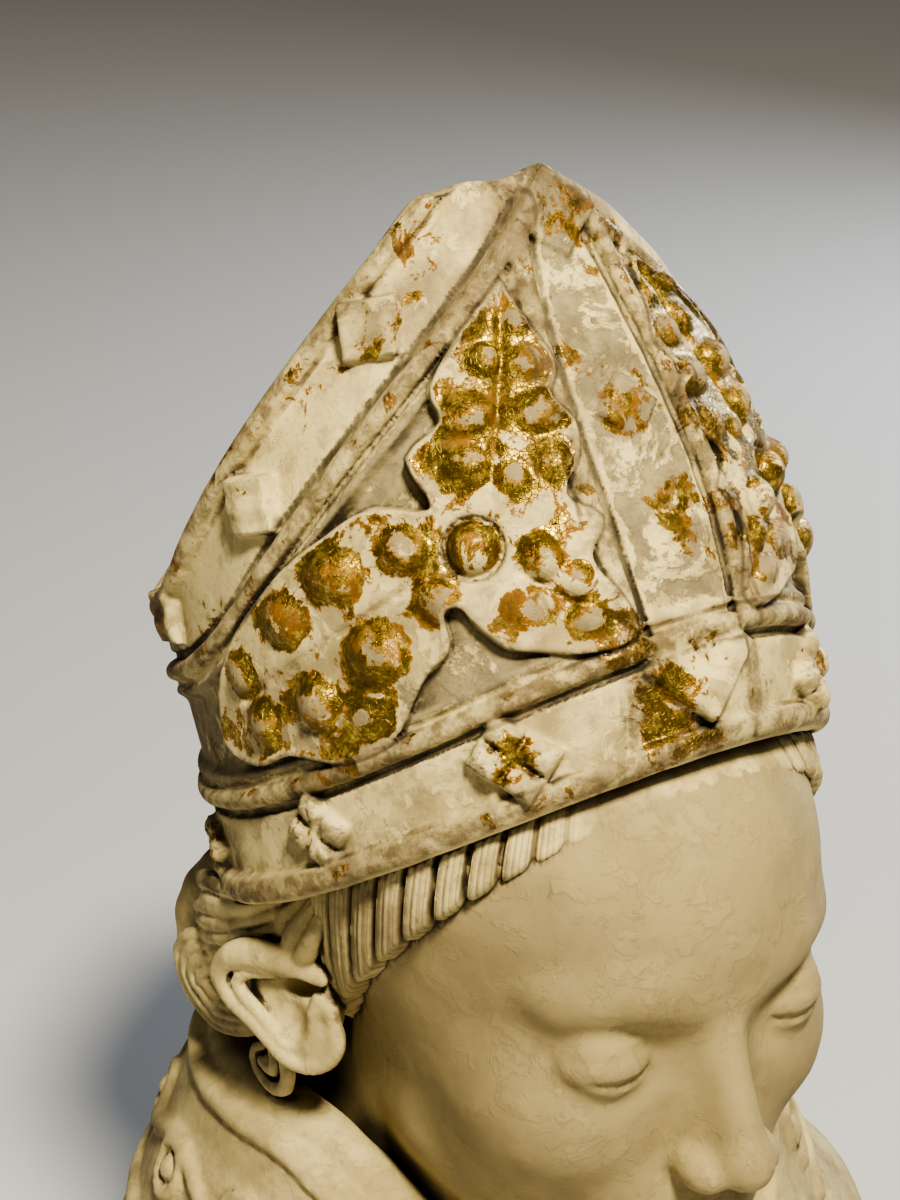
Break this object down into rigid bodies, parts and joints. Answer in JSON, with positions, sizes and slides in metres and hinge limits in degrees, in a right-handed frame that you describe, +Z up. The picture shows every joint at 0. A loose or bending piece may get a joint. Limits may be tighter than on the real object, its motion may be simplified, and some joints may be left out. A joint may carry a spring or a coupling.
{
  "type": "limestone bust of a bishop in a mitre",
  "caption": "Carved limestone bust of a bishop: bowed head in a tall leaning mitre with carved foliage, flaring collar and draped shoulders, cut flat below to stand on a table.",
  "frame": {"origin": "centre of the flat underside, where the bust stands", "axes": "+Z up, -Y towards the face, +X towards the figure's left"},
  "size_m": [0.3281, 0.2555, 0.4517],
  "materials": {
    "limestone": "matte, worn limewash with dirt and traces of gilding"
  },
  "bodies": {
    "root": {"limestone_bust": "limestone"}
  },
  "joints": []
}
